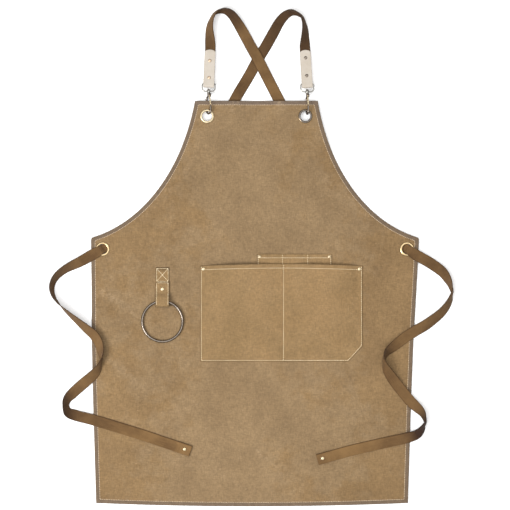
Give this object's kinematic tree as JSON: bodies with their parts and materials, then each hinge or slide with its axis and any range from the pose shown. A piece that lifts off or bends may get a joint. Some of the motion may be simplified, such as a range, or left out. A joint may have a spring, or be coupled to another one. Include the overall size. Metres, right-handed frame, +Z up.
{
  "type": "cross-back apron",
  "caption": "Waxed canvas apron with pockets, a ring on a loop, and crossed straps that hook to the bib, lead through side eyelets and end as ties.",
  "frame": {"origin": "under the middle of the whole apron as it lies, on the surface that it rests on", "axes": "+Y from the bottom hem to the bib and the shoulder straps, +X to the right of the front as seen, +Z up from the surface, out of the front"},
  "size_m": [0.8492, 1.0482, 0.0263],
  "materials": {
    "canvas": "waxed cotton canvas, matt, mottled by wear",
    "pocket_canvas": "waxed cotton canvas, matt, a little warmer",
    "webbing": "ribbed cotton webbing, matt",
    "leather": "pale vegetable-tanned leather, smooth",
    "brass": "worn satin brass",
    "pale_brass": "pale worn brass",
    "gunmetal": "dark antique plating, polished",
    "nickel": "nickel plating, satin",
    "copper": "pale copper, satin"
  },
  "bodies": {
    "apron": {"apron_panel": "canvas", "main_pocket": "pocket_canvas", "pen_pocket": "pocket_canvas", "towel_loop": "pocket_canvas", "grommet_top_left": "pale_brass", "grommet_top_right": "gunmetal", "grommet_side_left": "brass", "grommet_side_right": "brass", "pocket_rivet_left": "brass", "pocket_rivet_right": "brass", "pen_pocket_rivet_left": "brass", "pen_pocket_rivet_right": "brass", "loop_rivet": "brass", "hook_eye_left": "nickel", "hook_eye_right": "nickel", "leather_tab_left": "leather", "leather_tab_right": "leather", "tab_rivet_left_1": "copper", "tab_rivet_left_2": "copper", "tab_rivet_right_1": "gunmetal", "tab_rivet_right_2": "gunmetal", "cross_strap_left": "webbing", "cross_strap_right": "webbing", "tie_end_rivet_left": "brass", "tie_end_rivet_right": "brass"},
    "ring": {"towel_ring": "gunmetal"},
    "left_hook": {"snap_hook_left": "gunmetal"},
    "right_hook": {"snap_hook_right": "gunmetal"},
    "left_gate": {"hook_gate_left": "brass"},
    "right_gate": {"hook_gate_right": "brass"}
  },
  "joints": [
    {"name": "ring_swing", "type": "hinge", "parent": "apron", "child": "ring", "pos_m": [-0.18693, -0.09244, 0.0078], "axis": [-1, 0, 0], "range_deg": [0, 165]},
    {"name": "left_swivel", "type": "hinge", "parent": "apron", "child": "left_hook", "pos_m": [-0.08956, 0.34817, 0.0101], "axis": [0, 1, 0], "range_deg": [-52, 2]},
    {"name": "right_swivel", "type": "hinge", "parent": "apron", "child": "right_hook", "pos_m": [0.11744, 0.34736, 0.0101], "axis": [0, 1, 0], "range_deg": [-33, 21]},
    {"name": "left_gate_hinge", "type": "hinge", "parent": "left_hook", "child": "left_gate", "pos_m": [-0.08798, 0.33957, 0.01253], "axis": [0.8387, 0, -0.5446], "range_deg": [0, 16], "stiffness_Nm_per_rad": 0.01, "springref_deg": -11.46},
    {"name": "right_gate_hinge", "type": "hinge", "parent": "right_hook", "child": "right_gate", "pos_m": [0.11815, 0.33876, 0.01291], "axis": [0.9703, 0, -0.2419], "range_deg": [0, 16], "stiffness_Nm_per_rad": 0.01, "springref_deg": -11.46}
  ]
}
